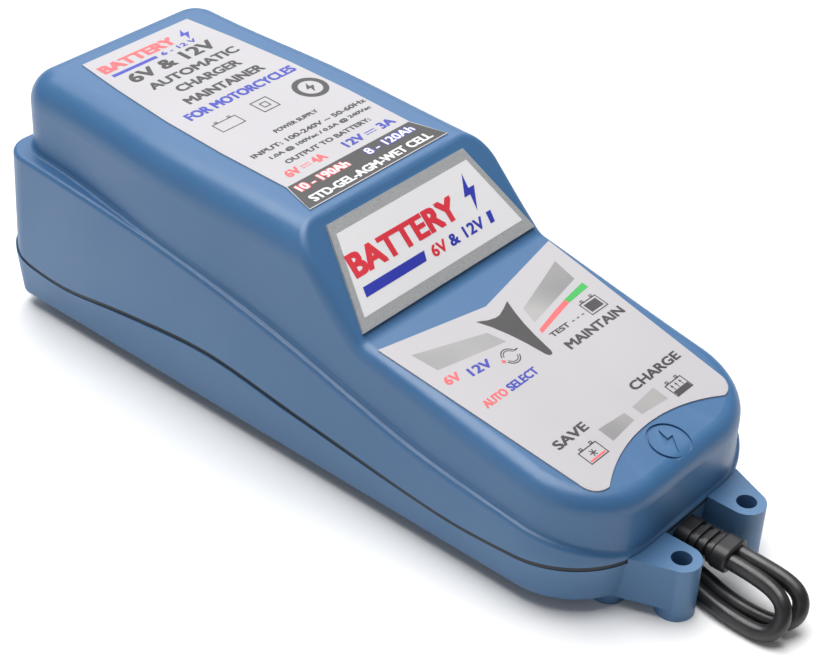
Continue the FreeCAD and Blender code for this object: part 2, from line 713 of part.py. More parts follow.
def drum(name, x, y, z, radius, height):
    """A Part::Cylinder standing at (x, y) on z."""
    cylinder = doc.addObject("Part::Cylinder", name)
    cylinder.Radius, cylinder.Height = radius, height
    cylinder.Placement = FreeCAD.Placement(V(x, y, z), FreeCAD.Rotation())
    return cylinder


def fused(label, features):
    result = doc.addObject("Part::MultiFuse", label)
    result.Shapes = features
    return keep(result, label)


def trimmed(label, base, tool):
    result = doc.addObject("Part::Cut", label)
    result.Base, result.Tool = base, tool
    return keep(result, label)


def transformer():
    """A bobbin-wound transformer lying along X: a square-ring core round the winding."""
    x, y = 7, 34
    outer = cuboid("core_outer", x, y, BOARD_TOP + 0.5, 34, 30, 26)
    inner = cuboid("core_window", x, y, BOARD_TOP + 4.5, 26, 32, 18)
    ring = doc.addObject("Part::Cut", "core_ring")
    ring.Base, ring.Tool = outer, inner
    leg = cuboid("core_leg", x, y, BOARD_TOP + 4, 9, 13, 19)
    fused("transformer_core", [ring, leg])
    coil = cuboid("coil_outer", x, y, BOARD_TOP + 5, 25, 29, 17)
    trimmed("transformer_winding", coil, cuboid("coil_window", x, y, BOARD_TOP + 4, 9, 13, 19))


def choke():
    """A ring-core choke lying flat, with its winding as a fatter ring cut by a gap."""
    x, y, z = 6, -26, BOARD_TOP + 4.6
    core = doc.addObject("Part::Torus", "choke_core")
    core.Radius1, core.Radius2 = 6.5, 2.2
    core.Placement = FreeCAD.Placement(V(x, y, z), FreeCAD.Rotation())
    keep(core, "choke_core")
    coils = []
    for turn in range(2):
        middle_angle = 180 * turn
        centre = FreeCAD.Rotation(V(0, 0, 1), middle_angle)
        hose = Part.makeTorus(6.5, 3.4, V(), V(0, 0, 1), -180, 180, 130)
        hose = hose.cut(Part.makeTorus(6.5, 2.2))
        hose.Placement = FreeCAD.Placement(V(x, y, z), centre)
        coils.append(hose)
    shaped("choke_winding", Part.makeCompound(coils))
    drum_core = drum("output_choke_rod", 10, 84, BOARD_TOP + 0.5, 5.5, 12)
    fused("output_choke", [drum_core, drum("output_choke_top", 10, 84, BOARD_TOP + 12.5, 6.5, 1.5),
                           drum("output_choke_foot", 10, 84, BOARD_TOP, 6.5, 0.5)])


def can(radius, height):
    """An electrolytic capacitor: a can with a groove near its foot and a scored top."""
    shell = Part.makeCylinder(radius, height)
    groove = Part.makeTorus(radius + 0.5, 0.9, V(0, 0, 3.2))
    score = Part.makeBox(radius * 1.3, 0.4, 0.3, V(-radius * 0.65, -0.2, height - 0.2))
    cross = Part.makeBox(0.4, radius * 1.3, 0.3, V(-0.2, -radius * 0.65, height - 0.2))
    return shell.cut([groove, score, cross])


def heat_sink(label, x, y, length, height, fins, facing):
    """An aluminium plate on edge with fins on one side."""
    plate = Part.makeBox(2, length, height, V(-1, -length / 2, 0))
    solids = []
    for number in range(fins):
        fin_y = -length / 2 + (length - 1.2) * number / (fins - 1)
        fin_x = 0 if facing > 0 else -4
        solids.append(Part.makeBox(4, 1.2, height, V(fin_x, fin_y, 0)))
    shaped(label, plate.fuse(solids).removeSplitter(), V(x, y, BOARD_TOP))


def power_package(label, x, y, side):
    """A three-legged power package screwed to a heat sink; side is where its face is."""
    body = Part.makeBox(4.4, 10, 9, V(-2.2, -5, 4.5))
    tab = Part.makeBox(1.3, 10, 6, V(-2.2 if side < 0 else 0.9, -5, 13.5))
    hole = Part.makeCylinder(1.6, 6, V(-3, 0, 17), V(1, 0, 0))
    legs = [Part.makeBox(0.6, 0.9, 5, V(-0.3, offset - 0.45, -0.2)) for offset in (-2.54, 0, 2.54)]
    made = body.fuse([tab.cut(hole)] + legs)
    shaped(label, made, V(x, y, BOARD_TOP + 0.2))


def small_parts():
    keep(cuboid("x_capacitor", -14, -26, BOARD_TOP, 18, 8.5, 15), "x_capacitor")
    keep(cuboid("output_relay", 14, -50, BOARD_TOP, 16, 19, 12), "output_relay")
    fused("bridge_rectifier", [cuboid("bridge_body", -15, -8, BOARD_TOP + 3, 20, 4, 15),
                               cuboid("bridge_legs", -15, -8, BOARD_TOP, 14, 0.8, 3)])
    fused("microcontroller", [cuboid("controller_body", 12, -8, BOARD_TOP + 0.3, 10, 10, 1.6),
                              cuboid("controller_legs", 12, -8, BOARD_TOP, 12, 12, 0.5)])
    fused("optocoupler", [cuboid("opto_body", -4, 8, BOARD_TOP + 0.8, 4.6, 6.5, 3.4),
                          cuboid("opto_legs", -4, 8, BOARD_TOP, 7.6, 0.6, 1.6)])
    fused("varistor", [cuboid("varistor_disc", -2, -50, BOARD_TOP + 1, 10, 4.2, 10),
                       cuboid("varistor_legs", -2, -50, BOARD_TOP, 5.8, 0.7, 1.5)])
    blocks = [cuboid("terminal_body", 0, -67, BOARD_TOP, 22, 8, 9)]
    blocks += [drum(f"terminal_screw_{n}", -8.25 + 5.5 * n, -67, BOARD_TOP + 9, 1.8, 0.5) for n in range(4)]
    fused("terminal_block", blocks)


def fuse_parts():
    """A glass tube fuse with two metal caps, in two spring clips, along Y."""
    x, y, z = -17, -50, BOARD_TOP + 4.6
    tube = Part.makeCylinder(2.4, 20, V(x, y - 10, z), V(0, 1, 0))
    caps = [Part.makeCylinder(2.6, 5, V(x, y + end, z), V(0, 1, 0)) for end in (-10.2, 5.2)]
    shaped("mains_fuse", tube.fuse(caps))
    clips = []
    for end in (-8, 8):
        cheeks = Part.makeBox(6.4, 4, 6.6, V(x - 3.2, y + end - 2, BOARD_TOP))
        clips.append(cheeks.cut([Part.makeCylinder(2.6, 6, V(x, y + end - 3, z), V(0, 1, 0)),
                                 Part.makeBox(4.2, 6, 4, V(x - 2.1, y + end - 3, z))]))
    shaped("fuse_clips", Part.makeCompound(clips))


transformer()
choke()
shaped("bulk_capacitor", can(8, 30), V(-13, 18, BOARD_TOP))
OUTPUT_CANS = [V(-13, 62, BOARD_TOP), V(-13, 75, BOARD_TOP), V(0, 68, BOARD_TOP)]
shaped("output_capacitors", Part.makeCompound([can(5, 20).translated(spot) for spot in OUTPUT_CANS]))
heat_sink("primary_heat_sink", -24, 44, 26, 24, 6, 1)
power_package("switch_transistor", -17.8, 44, -1)
heat_sink("secondary_heat_sink", 23.5, 66, 30, 24, 7, -1)
power_package("output_diode", 17.3, 66, 1)
small_parts()
fuse_parts()


# ---------------------------------------------------------------- wires and fasteners
def rounding(before, here, after):
    """The largest arc radius that the two runs at a point allow."""
    shorter = min((before - here).Length, (after - here).Length)
    half_turn = (math.pi - (before - here).getAngle(after - here)) / 2
    return 0.45 * shorter / math.tan(half_turn)


def path(points):
    """Straight runs joined by tangent arcs, each as large as its two runs allow."""
    corners = [V(*p) for p in points]
    edges, start = [], corners[0]
    for before, here, after in zip(corners, corners[1:], corners[2:]):
        radius = rounding(before, here, after)
        back, ahead = (before - here).normalize(), (after - here).normalize()
        half_turn = (math.pi - back.getAngle(ahead)) / 2
        reach = radius * math.tan(half_turn)
        top = here + (back + ahead).normalize() * (radius / math.cos(half_turn) - radius)
        edges.append(line(start, here + back * reach))
        edges.append(arc(here + back * reach, top, here + ahead * reach))
        start = here + ahead * reach
    return Part.Wire(edges + [line(start, corners[-1])])


def tube(points, radius):
    """A round bar along a path of runs and arcs."""
    route = path(points)
    heading = V(*points[1]) - V(*points[0])
    section = Part.Wire(Part.makeCircle(radius, V(*points[0]), heading))
    solid = route.makePipeShell([section], True, False)
    return solid.Solids[0]


def make_wires(xs, ends):
    """Insulated wires from the cord grip to the terminals."""
    solids = []
    for x, end in zip(xs, ends):
        z = dim("grip_z")
        route = [(x, -87, z), (x, -82, z), (x * 0.5 + end * 0.5, -77, z + 4), (end, -71.5, BOARD_TOP + 4.5)]
        solids.append(tube(route, dim("wire_radius")))
    return Part.makeCompound(solids)


shaped("mains_wires", make_wires((-3.3, -0.9), (-8.25, -2.75)))
shaped("battery_wires", make_wires((1.5, 3.9), (2.75, 8.25)))


def make_board_link():
    """A flat ribbon from the main board up to the display board."""
    foot, top = V(-6, -40, BOARD_TOP), panel_point(-6, -40) - PANEL_UP * (DROP + dim("display_thickness"))
    thickness, width = V(0, 0.9, 0), V(12, 0, 0)
    side = Part.makePolygon([foot, foot + thickness, top + thickness, top, foot])
    return Part.Face(side).extrude(width)


shaped("board_link", make_board_link())


def screw(radius, length, head_radius, head_height, cross):
    """A pan-head screw that points up, its head's top at the origin's level, with a cross recess below."""
    shank = Part.makeCylinder(radius, length, V(0, 0, 0))
    head = Part.makeCylinder(head_radius, head_height, V(0, 0, -head_height))
    arms = [Part.makeBox(cross, 0.6, 1, V(-cross / 2, -0.3, -head_height - 0.1)),
            Part.makeBox(0.6, cross, 1, V(-0.3, -cross / 2, -head_height - 0.1))]
    return shank.fuse(head).cut(arms)


def placed_copies(shape, spots, z):
    return Part.makeCompound([shape.translated(V(x, y, z)) for x, y in spots])


case_screw = screw(dim("screw_radius"), dim("screw_tip_z") - dim("boss_seat_z"), dim("screw_head_radius"),
                   dim("screw_head_height"), 3.2)
shaped("case_screws", placed_copies(case_screw, BOSSES, dim("boss_seat_z")))


def make_board_screws():
    shank = Part.makeCylinder(dim("board_screw_radius"), 6.6, V(0, 0, -6.6))
    head = Part.makeCylinder(2.4, 1.6)
    slot = Part.makeBox(3.4, 0.6, 0.8, V(-1.7, -0.3, 0.9))
    return placed_copies(shank.fuse(head).cut(slot), POSTS, BOARD_TOP)


shaped("board_screws", make_board_screws())


# ---------------------------------------------------------------- cord grip
def make_grip():
    """A ribbed rubber grip: a flange inside the wall, a neck through it, a barrel and an end collar."""
    tip, collar = dim("grip_tip_y"), dim("grip_collar_length")
    barrel_width, barrel_height = dim("grip_barrel_width"), dim("grip_barrel_height")
    face = dim("case_front_y") + 2.6
    solid = stadium(barrel_width, barrel_height, tip + collar, face - tip - collar)
    end_collar = stadium(dim("grip_collar_width"), dim("grip_collar_height"), tip, collar)
    end_collar = rounded(end_collar, 0.7, lambda e: e.BoundBox.YMax - e.BoundBox.YMin < 0.1)
    slits = []
    for number in range(3):
        slit = stadium(barrel_width + 2, barrel_height + 2, tip + collar + 0.9 + 2.3 * number, 1.1)
        core = stadium(barrel_width - 1.8, barrel_height - 1.6, tip + collar + 0.5 + 2.3 * number, 2)
        slits.append(slit.cut(core))
    solid = solid.cut(slits).fuse(end_collar)
    flange = stadium(dim("grip_flange_width"), dim("grip_flange_height"), -90.2, 3.2)
    neck = stadium(dim("grip_neck_width"), dim("grip_neck_height"), -93, 5)
    pieces = solid.fuse([flange, neck]).cut(lower_case).Solids
    return max(pieces, key=lambda piece: piece.Volume)


shaped("cord_grip", make_grip())

# ---------------------------------------------------------------- cords
# Each route is hand-laid: out of the grip, down in a tight fold to the floor, back under the case
# through its channel, out on the right side, and on to the hank.
MAINS_ROUTE = [
    (-2.05, -106.4, 10.65), (-2.05, -111.4, 10.65), (-2.8, -119.6, 10.0), (-4.8, -123.3, 7.8),
    (-7.3, -123.7, 4.4), (-9.0, -121.0, 2.0), (-9.2, -114.2, 2.0), (-8.2, -106.4, 2.0), (-6.1, -99.6, 2.0),
    (-4.4, -91.2, 2.0), (-3.6, -79.5, 2.0), (4.6, -61.5, 2.0), (21.0, -38.5, 2.0), (38.6, -9.5, 2.0),
    (43.0, 24.0, 2.0), (43.0, 60.0, 2.0),
]
LEAD_ROUTE = [
    (2.05, -106.4, 10.65), (2.05, -111.4, 10.65), (1.9, -120.6, 10.2), (0.7, -124.4, 8.1),
    (-1.6, -125.0, 4.7), (-3.6, -121.8, 2.0), (-4.6, -114.8, 2.0), (-4.0, -107.2, 2.0), (-1.9, -100.4, 2.0),
    (-0.3, -92.2, 2.0), (0.5, -80.6, 2.0), (8.2, -63.6, 2.0), (24.6, -40.6, 2.0), (50.6, -7.5, 2.0),
    (80.6, 28.0, 2.0), (80.6, 60.0, 2.0),
]


def make_cord(points):
    """The loose stretch of a cord, its radii and volume checked as it is made."""
    solid = tube(points, dim("cord_radius"))
    corners = [V(*p) for p in points]
    radii = [rounding(*three) for three in zip(corners, corners[1:], corners[2:])]
    expected = math.pi * dim("cord_radius") ** 2 * path(points).Length
    print("cord radii:", [round(r, 1) for r in radii], "length:", round(path(points).Length, 1),
          "volume over section times length:", round(solid.Volume / expected, 4))
    return solid


def make_tie(left, right, front):
    """A flat strap round a hank; its lower side lies on the floor."""
    thick, width = dim("tie_thickness"), dim("tie_width")
    top = dim("hank_height")
    outer = block(V(left - thick, front, 0), V(right + thick, front + width, top + thick))
    outer = rounded(outer, 2, lambda e: e.BoundBox.YMax - e.BoundBox.YMin > width - 0.1)
    return outer.cut(block(V(left, front - 1, thick), V(right, front + width + 1, top)))


def make_hank(left, right, tie):
    """The outer shape of a folded hank: a long block with round ends, tied round its middle."""
    front, back, height = dim("hank_front_y"), dim("hank_back_y"), dim("hank_height")
    whole = block(V(left, front, 0), V(right, back, height))
    upright = lambda e: e.BoundBox.ZMax - e.BoundBox.ZMin > height - 0.1
    ends = rounded(whole, dim("hank_end_radius") - 4, upright)
    return rounded(ends, 1.4, lambda e: e.BoundBox.ZMin > height - 0.1).cut(tie)


def rounded_section(width, height, centre, radius):
    """A rounded rectangle across Y, for a loft."""
    flat = Part.makeBox(width, 1, height, centre - V(width / 2, 0, height / 2))
    flat = rounded(flat, radius, lambda e: e.BoundBox.YMax - e.BoundBox.YMin > 0.9)
    front = min(flat.Faces, key=lambda face: face.CenterOfMass.y)
    return front.OuterWire


PLUG = V(59, 68, dim("hank_height") + dim("tie_thickness") + 7)
CONNECTOR = V(84.5, 74, dim("hank_height") + dim("tie_thickness") + 4)
# Each tail comes up out of the hank's top layer and into its plug or connector.
MAINS_TAIL = [(67, 136, 9.4), (66.4, 125, 11.6), (61.5, 116, 17.4), (59, 106, 19.8), (59, 98, 19.8)]
LEAD_TAIL = [(100.6, 136, 9.4), (99.4, 126, 11.4), (91.6, 117, 15.4), (84.5, 106, 16.8), (84.5, 98, 16.8)]


def make_plug():
    """A flat two-pin plug with a tapered neck where its cord goes in."""
    front = rounded_section(30, 14, PLUG, 4)
    waist = rounded_section(30, 14, PLUG + V(0, 16, 0), 4)
    shoulder = rounded_section(12, 9, PLUG + V(0, 30, 0), 3)
    body = Part.makeLoft([front, waist], True, True).fuse(Part.makeLoft([waist, shoulder], True, True))
    neck = Part.makeCone(4.2, 3, 9, PLUG + V(0, 29, 0), V(0, 1, 0))
    grips = [Part.makeTorus(4.6, 0.9, PLUG + V(0, 31.5 + 2.4 * n, 0), V(0, 1, 0)) for n in range(2)]
    return body.fuse(neck).cut(grips).removeSplitter().Solids[0]


def make_pins():
    pins = []
    for side in (-1, 1):
        shaft = rod(2, PLUG + V(side * 9.5, -18, 0), V(0, 1, 0), 22)
        tip = Part.makeCone(1.1, 2, 1.2, PLUG + V(side * 9.5, -19.2, 0), V(0, 1, 0))
        pins.append(shaft.fuse(tip).removeSplitter())
    return pins


def make_connector():
    """A two-pole connector: one pole sheathed, the other bare."""
    body_ends = [rounded_section(16, 8, CONNECTOR + V(0, along, 0), 3) for along in (0, 15)]
    body = Part.makeLoft(body_ends, True, True)
    neck = Part.makeLoft([rounded_section(13, 7.4, CONNECTOR + V(0, 15, 0), 3),
                          rounded_section(6, 5.6, CONNECTOR + V(0, 27, 0), 2.6)], True, True)
    sheath = rod(3.6, CONNECTOR + V(-4, -11, 0), V(0, 1, 0), 12)
    sheath = sheath.cut(rod(2, CONNECTOR + V(-4, -12, 0), V(0, 1, 0), 11))
    return body.fuse([neck, sheath]).removeSplitter()


def make_contacts():
    bare = rod(1.9, CONNECTOR + V(4, -11, 0), V(0, 1, 0), 14)
    sleeve = rod(1.9, CONNECTOR + V(-4, -1, 0), V(0, 1, 0), 4)
    return [bare, sleeve]


def make_cord_and_stow(names, route, tail, hank_sides, tie_front, head, contacts):
    """One cord with everything on it: its tube, hank, tie, tail, plug or connector, and pins."""
    cord_name, hank_name, tail_name, tie_name, head_name, contact_name = names
    cord = shaped(cord_name, make_cord(route)).Shape
    tie = shaped(tie_name, make_tie(*hank_sides, tie_front)).Shape
    hank = shaped(hank_name, make_hank(*hank_sides, tie)).Shape
    pins = shaped(contact_name, Part.makeCompound(contacts)).Shape
    body = shaped(head_name, head.cut(contacts)).Shape
    loose = tube(tail, dim("cord_radius")).cut([hank, body])
    shaped(tail_name, max(loose.Solids, key=lambda piece: piece.Volume))
    return cord


mains_cord = make_cord_and_stow(
    ("mains_cord", "mains_hank", "mains_tail", "mains_tie", "mains_plug", "plug_pins"),
    MAINS_ROUTE, MAINS_TAIL, (dim("mains_hank_left"), dim("mains_hank_right")), 82, make_plug(), make_pins())
battery_lead = make_cord_and_stow(
    ("battery_lead", "lead_hank", "lead_tail", "lead_tie", "lead_connector", "connector_contacts"),
    LEAD_ROUTE, LEAD_TAIL, (dim("lead_hank_left"), dim("lead_hank_right")), 92,
    make_connector(), make_contacts())
print("cords overlap:", round(mains_cord.common(battery_lead).Volume, 3),
      "with the case:", [round(c.common(lower_case).Volume, 3) for c in (mains_cord, battery_lead)])

doc.recompute()
for feature in doc.Objects:
    if "Invalid" in feature.State or "Error" in feature.State:
        raise RuntimeError(feature.Label + " did not recompute")
os.makedirs("parts", exist_ok=True)
for feature in SUBPARTS:
    if feature.Shape.isNull() or not feature.Shape.isValid():
        raise RuntimeError(feature.Label + " has a bad shape")
    feature.Shape.exportStep(f"parts/{feature.Label}.step")
print(len(SUBPARTS), "sub-parts")
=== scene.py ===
"""A motorcycle battery charger: moulded case, printed labels, mains cord with plug, battery lead."""
import json
import math

import bmesh
import bpy
from mathutils import Matrix, Vector


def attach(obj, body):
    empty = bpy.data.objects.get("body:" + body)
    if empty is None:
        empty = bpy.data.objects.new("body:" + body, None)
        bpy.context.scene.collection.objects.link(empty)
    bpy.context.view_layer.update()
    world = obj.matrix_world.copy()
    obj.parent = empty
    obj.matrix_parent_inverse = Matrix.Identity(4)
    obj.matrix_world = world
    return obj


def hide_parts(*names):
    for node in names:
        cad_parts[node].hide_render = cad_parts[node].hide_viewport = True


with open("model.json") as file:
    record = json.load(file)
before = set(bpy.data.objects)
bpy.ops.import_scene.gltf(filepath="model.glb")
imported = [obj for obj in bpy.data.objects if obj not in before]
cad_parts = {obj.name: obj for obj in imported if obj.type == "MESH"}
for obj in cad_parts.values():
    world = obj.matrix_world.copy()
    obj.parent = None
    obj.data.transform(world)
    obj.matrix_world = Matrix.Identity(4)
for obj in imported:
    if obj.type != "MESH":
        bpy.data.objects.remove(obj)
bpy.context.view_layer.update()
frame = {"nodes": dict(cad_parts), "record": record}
nodes = frame["nodes"]
scene = bpy.context.scene
scene.view_settings.view_transform = "Standard"
MM = 0.001


# ---------------------------------------------------------------- camera
def add_object(name, data):
    item = bpy.data.objects.new(name, data)
    scene.collection.objects.link(item)
    return item


def look_down(azimuth, elevation, roll):
    """Axes of a camera: azimuth 0 looks along +Y, and roll turns it about its own line of sight."""
    az, el, tilt = (math.radians(angle) for angle in (azimuth, elevation, roll))
    back = Vector((math.sin(az) * math.cos(el), -math.cos(az) * math.cos(el), math.sin(el)))
    level = Vector((0, 0, 1)).cross(back).normalized()
    right = level * math.cos(tilt) + back.cross(level) * math.sin(tilt)
    return Matrix((right, back.cross(right), back)).transposed().to_4x4()


lens = bpy.data.cameras.new("camera")
lens.lens, lens.sensor_width, lens.sensor_fit = 84.98, 36, "HORIZONTAL"
camera = add_object("camera", lens)
camera.matrix_world = Matrix.Translation((-0.31024, -0.26144, 0.31151)) @ look_down(-50.793, 35.563, 2.674)
scene.camera = camera

# ---------------------------------------------------------------- cords
CORD = 4.0 * MM
MAINS_ROUTE = [
    (-2.05, -106.4, 10.65), (-2.05, -111.4, 10.65), (-2.8, -119.6, 10.0), (-4.8, -123.3, 7.8),
    (-7.3, -123.7, 4.4), (-9.0, -121.0, 2.0), (-9.2, -114.2, 2.0), (-8.2, -106.4, 2.0), (-6.1, -99.6, 2.0),
    (-4.4, -91.2, 2.0), (-3.6, -79.5, 2.0), (4.6, -61.5, 2.0), (21.0, -38.5, 2.0), (38.6, -9.5, 2.0),
    (43.0, 24.0, 2.0), (43.0, 60.0, 2.0),
]
LEAD_ROUTE = [
    (2.05, -106.4, 10.65), (2.05, -111.4, 10.65), (1.9, -120.6, 10.2), (0.7, -124.4, 8.1),
    (-1.6, -125.0, 4.7), (-3.6, -121.8, 2.0), (-4.6, -114.8, 2.0), (-4.0, -107.2, 2.0), (-1.9, -100.4, 2.0),
    (-0.3, -92.2, 2.0), (0.5, -80.6, 2.0), (8.2, -63.6, 2.0), (24.6, -40.6, 2.0), (50.6, -7.5, 2.0),
    (80.6, 28.0, 2.0), (80.6, 60.0, 2.0),
]
MAINS_TAIL = [(66.4, 119, 12.0), (61.8, 113, 17.0), (59, 106, 19.8), (59, 98, 19.8)]
LEAD_TAIL = [(99.4, 122, 11.6), (91.6, 114.6, 15.2), (84.5, 106, 16.8), (84.5, 98, 16.8)]
# The runs of each hank in order, layer upon layer: one goes to the back, and the next comes forward.
MAINS_RUNS = [43, 75, 47, 71, 51, 67, 51, 67, 47, 71, 43, 75, 43, 75, 47, 71, 51, 67]
LEAD_RUNS = [80.6, 104.6, 84.6, 100.6, 84.6, 100.6, 80.6, 104.6, 80.6, 104.6, 84.6, 100.6]
LAYERS = (2.4, 6.2, 10.0)
# Where the runs of each hank end and its turns begin, at the front and at the back.
MAINS_FOLDS = (78, 122)
LEAD_FOLDS = (74, 126)
FOLD_POINTS = 4


def fold(x_from, x_to, y, side, z_from, z_to):
    """Half a turn of a hank, from one run to the next, bulging towards side."""
    middle, radius = (x_from + x_to) / 2, (x_from - x_to) / 2
    half_step = math.pi / FOLD_POINTS / 2
    reach = radius / math.cos(half_step)
    points = []
    for step in range(FOLD_POINTS):
        angle = half_step * (2 * step + 1)
        z = z_from + (z_to - z_from) * min(1, (step + 1) / (FOLD_POINTS - 1))
        points.append((middle + reach * math.cos(angle), y + side * abs(reach) * math.sin(angle), z))
    return points


def hank(runs, front, back):
    """The folded turns of a hank, between its fold lines; its last run stops short, where the tail leaves."""
    points = []
    per_layer = len(runs) // len(LAYERS)
    for index, x in enumerate(runs):
        z = LAYERS[index // per_layer]
        outward = index % 2 == 0
        near, far = (front, back) if outward else (back, front)
        points += [(x, near, z), (x, (near + far) / 2, z), (x, far, z)]
        if index + 1 < len(runs):
            next_z = LAYERS[(index + 1) // per_layer]
            points += fold(x, runs[index + 1], far, 1 if outward else -1, z, next_z)
    return points[:-2]


def make_cord(name, points, jacket):
    """One smooth round cord through its control points, in millimetres."""
    line = bpy.data.curves.new(name, "CURVE")
    line.dimensions = "3D"
    line.bevel_depth, line.bevel_resolution, line.resolution_u = CORD / 2, 6, 8
    line.use_fill_caps = True
    spline = line.splines.new("NURBS")
    spline.points.add(len(points) - 1)
    for control, (x, y, z) in zip(spline.points, points):
        control.co = (x * MM, y * MM, z * MM, 1)
    spline.order_u = 3
    spline.use_endpoint_u = True
    piece = add_object(name, line)
    line.materials.append(jacket)
    return piece


# ---------------------------------------------------------------- shader building
class Finish:
    """A procedural material: one principled shader, with nodes that vary what it is given."""

    def __init__(self, name, **settings):
        self.material = bpy.data.materials.new(name)
        self.material.use_nodes = True
        self.tree = self.material.node_tree
        self.shader = next(n for n in self.tree.nodes if n.type == "BSDF_PRINCIPLED")
        for socket, value in settings.items():
            self.shader.inputs[socket.replace("_", " ")].default_value = value
        self.place = self.tree.nodes.new("ShaderNodeTexCoord").outputs["Object"]

    def add(self, kind, **settings):
        item = self.tree.nodes.new(kind)
        for key, value in settings.items():
            setattr(item, key, value)
        return item

    def link(self, output, target):
        self.tree.links.new(output, target)

    def noise(self, scale, detail=2.0, stretch=None):
        item = self.add("ShaderNodeTexNoise")
        item.inputs["Scale"].default_value = scale
        item.inputs["Detail"].default_value = detail
        source = self.place
        if stretch:
            mapping = self.add("ShaderNodeMapping")
            mapping.inputs["Scale"].default_value = stretch
            self.link(source, mapping.inputs["Vector"])
            source = mapping.outputs["Vector"]
        self.link(source, item.inputs["Vector"])
        return item.outputs["Fac"]

    def span(self, value, low, high, start=0.3, end=0.7):
        """Maps a value from start..end to low..high."""
        item = self.add("ShaderNodeMapRange")
        for key, number in (("From Min", start), ("From Max", end), ("To Min", low), ("To Max", high)):
            item.inputs[key].default_value = number
        self.link(value, item.inputs["Value"])
        return item.outputs["Result"]

    def blend(self, factor, first, second):
        item = self.add("ShaderNodeMix", data_type="RGBA")
        self.link(factor, item.inputs["Factor"])
        for socket, colour in (("A", first), ("B", second)):
            target = next(s for s in item.inputs if s.name == socket and s.type == "RGBA")
            if isinstance(colour, tuple):
                target.default_value = (*colour, 1)
            else:
                self.link(colour, target)
        return next(s for s in item.outputs if s.type == "RGBA")

    def colour(self, output):
        self.link(output, self.shader.inputs["Base Color"])

    def roughness(self, output):
        self.link(output, self.shader.inputs["Roughness"])

    def bump(self, output, strength, distance):
        item = self.add("ShaderNodeBump")
        item.inputs["Strength"].default_value = strength
        item.inputs["Distance"].default_value = distance
        self.link(output, item.inputs["Height"])
        previous = self.shader.inputs["Normal"]
        if previous.is_linked:
            self.link(previous.links[0].from_socket, item.inputs["Normal"])
        self.link(item.outputs["Normal"], self.shader.inputs["Normal"])


def moulded(name, deep, pale, rough, grain=1800, depth=0.00004, edge_highlight=None):
    """Moulded plastic: slow drifts of colour, a fine grain, and a paler colour painted on convex edges as a
    highlight.
    """
    finish = Finish(name)
    body = finish.blend(finish.span(finish.noise(14, 3), 0, 1), deep, pale)
    if edge_highlight:
        # Convex edges, found by pointiness, are blended to a paler colour: a painted highlight, not wear.
        edge = finish.add("ShaderNodeNewGeometry").outputs["Pointiness"]
        body = finish.blend(finish.span(edge, 0, 0.5, 0.53, 0.64), body, edge_highlight)
    finish.colour(body)
    finish.roughness(finish.span(finish.noise(60, 4), rough[0], rough[1]))
    finish.bump(finish.noise(grain, 2), 0.35, depth)
    return finish.material


def metal(name, pale, dark, rough, stretch=(1, 1, 1), scale=900):
    """Plated or drawn metal, with fine marks along one way."""
    finish = Finish(name, Metallic=1.0)
    finish.colour(finish.blend(finish.span(finish.noise(scale, 3, stretch), 0, 1), pale, dark))
    finish.roughness(finish.span(finish.noise(200, 3), rough[0], rough[1]))
    finish.bump(finish.noise(scale, 2, stretch), 0.3, 0.00002)
    return finish.material


def film(name, pale, shade, rough=(0.32, 0.45)):
    """Printed film or ink: nearly flat, with a faint orange peel."""
    finish = Finish(name)
    finish.colour(finish.blend(finish.span(finish.noise(25, 3), 0, 1), pale, shade))
    finish.roughness(finish.span(finish.noise(120, 2), rough[0], rough[1]))
    finish.bump(finish.noise(700, 1), 0.15, 0.00003)
    return finish.material


def silver_film(name):
    """A metallic printed border: a fine sparkle in grey."""
    finish = Finish(name, Metallic=0.35)
    sparkle = finish.span(finish.noise(2600, 2), 0, 1)
    finish.colour(finish.blend(sparkle, (0.36, 0.37, 0.38), (0.47, 0.48, 0.49)))
    finish.roughness(finish.span(finish.noise(900, 2), 0.42, 0.55))
    finish.bump(finish.noise(2400, 1), 0.25, 0.00002)
    return finish.material


def smoked_window(name):
    """A frosted lens: wide soft patches of grey, with a fine diffusing grain."""
    finish = Finish(name, Specular_IOR_Level=0.45)
    patches = finish.span(finish.noise(38, 1), 0, 1, 0.35, 0.65)
    finish.colour(finish.blend(patches, (0.235, 0.23, 0.235), (0.37, 0.365, 0.36)))
    finish.roughness(finish.span(finish.noise(300, 2), 0.3, 0.42))
    finish.bump(finish.noise(2200, 1), 0.2, 0.00003)
    return finish.material


def strap(name):
    """Hook-and-loop tape: short pile over a weave."""
    finish = Finish(name, Sheen_Weight=0.4, Sheen_Roughness=0.5)
    pile = finish.span(finish.noise(1500, 4), 0, 1)
    finish.colour(finish.blend(pile, (0.012, 0.012, 0.013), (0.05, 0.05, 0.052)))
    finish.roughness(finish.span(finish.noise(500, 3), 0.75, 0.95))
    weave = finish.add("ShaderNodeTexWave", wave_type="BANDS", bands_direction="DIAGONAL")
    weave.inputs["Scale"].default_value = 350
    finish.link(finish.place, weave.inputs["Vector"])
    finish.bump(weave.outputs["Fac"], 0.4, 0.0002)
    finish.bump(finish.noise(2500, 3), 0.5, 0.0002)
    return finish.material


def cord_jacket(name):
    """Soft PVC: dull bloom, small scuffs and a faint ripple from the cores beneath."""
    finish = Finish(name, Specular_IOR_Level=0.55)
    bloom = finish.span(finish.noise(220, 4), 0, 1)
    finish.colour(finish.blend(bloom, (0.010, 0.010, 0.011), (0.028, 0.028, 0.030)))
    finish.roughness(finish.span(finish.noise(160, 4), 0.26, 0.46))
    finish.bump(finish.noise(130, 2), 0.25, 0.0002)
    finish.bump(finish.noise(1400, 2), 0.2, 0.00005)
    return finish.material


def clear(name, tint):
    """Glass or clear plastic, with a slight tint."""
    finish = Finish(name, Transmission_Weight=0.85, IOR=1.49)
    finish.colour(finish.blend(finish.span(finish.noise(90, 2), 0, 1), tint, tuple(0.9 * c for c in tint)))
    finish.roughness(finish.span(finish.noise(200, 2), 0.05, 0.15))
    return finish.material


